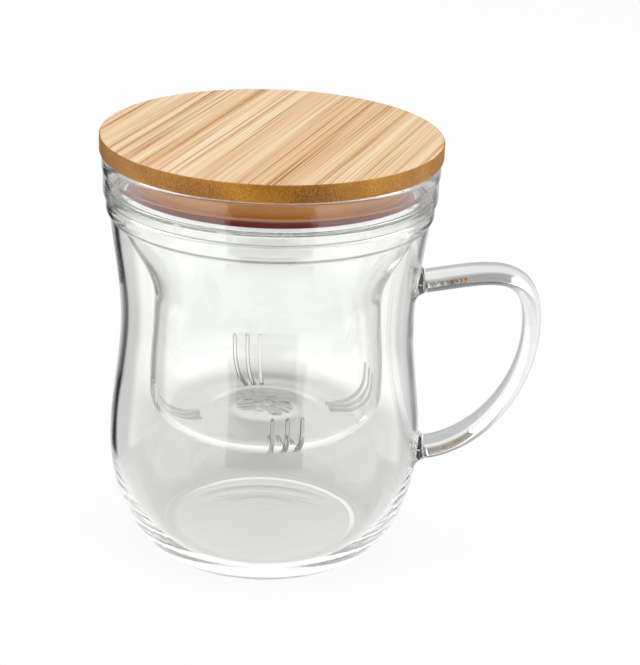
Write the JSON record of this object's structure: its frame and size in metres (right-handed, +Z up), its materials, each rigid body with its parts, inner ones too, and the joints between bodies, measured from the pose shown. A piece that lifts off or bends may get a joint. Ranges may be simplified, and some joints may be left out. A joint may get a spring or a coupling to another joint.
{
  "type": "lidded tea mug with infuser",
  "caption": "Waisted glass mug with a loop handle, a hanging glass infuser with slits, and a lift-off bamboo lid with a sealed plug.",
  "frame": {"origin": "centre of the mug's foot on the mug's axis, on the plane that it stands on", "axes": "+Z up along the mug's axis, +X through the middle of the handle, +Y to the left of the handle seen from its end"},
  "size_m": [0.1179, 0.0894, 0.115],
  "materials": {
    "mug_glass": "clear polished borosilicate glass",
    "handle_glass": "clear drawn borosilicate glass rod",
    "infuser_glass": "clear polished borosilicate glass with sawn slits",
    "bamboo_disc": "fine-sanded bamboo strips, satin oil",
    "bamboo_plug": "turned bamboo, darker at its edge",
    "silicone": "soft translucent silicone"
  },
  "bodies": {
    "mug": {"mug_body": "mug_glass", "mug_handle": "handle_glass"},
    "infuser": {"infuser": "infuser_glass"},
    "lid": {"lid_disc": "bamboo_disc", "lid_plug": "bamboo_plug", "lid_seal": "silicone"}
  },
  "joints": [
    {"name": "infuser_lift", "type": "slide", "parent": "mug", "child": "infuser", "axis": [0, 0, 1], "range_m": [0, 0.075]},
    {"name": "lid_lift", "type": "slide", "parent": "infuser", "child": "lid", "axis": [0, 0, 1], "range_m": [0, 0.03]}
  ]
}
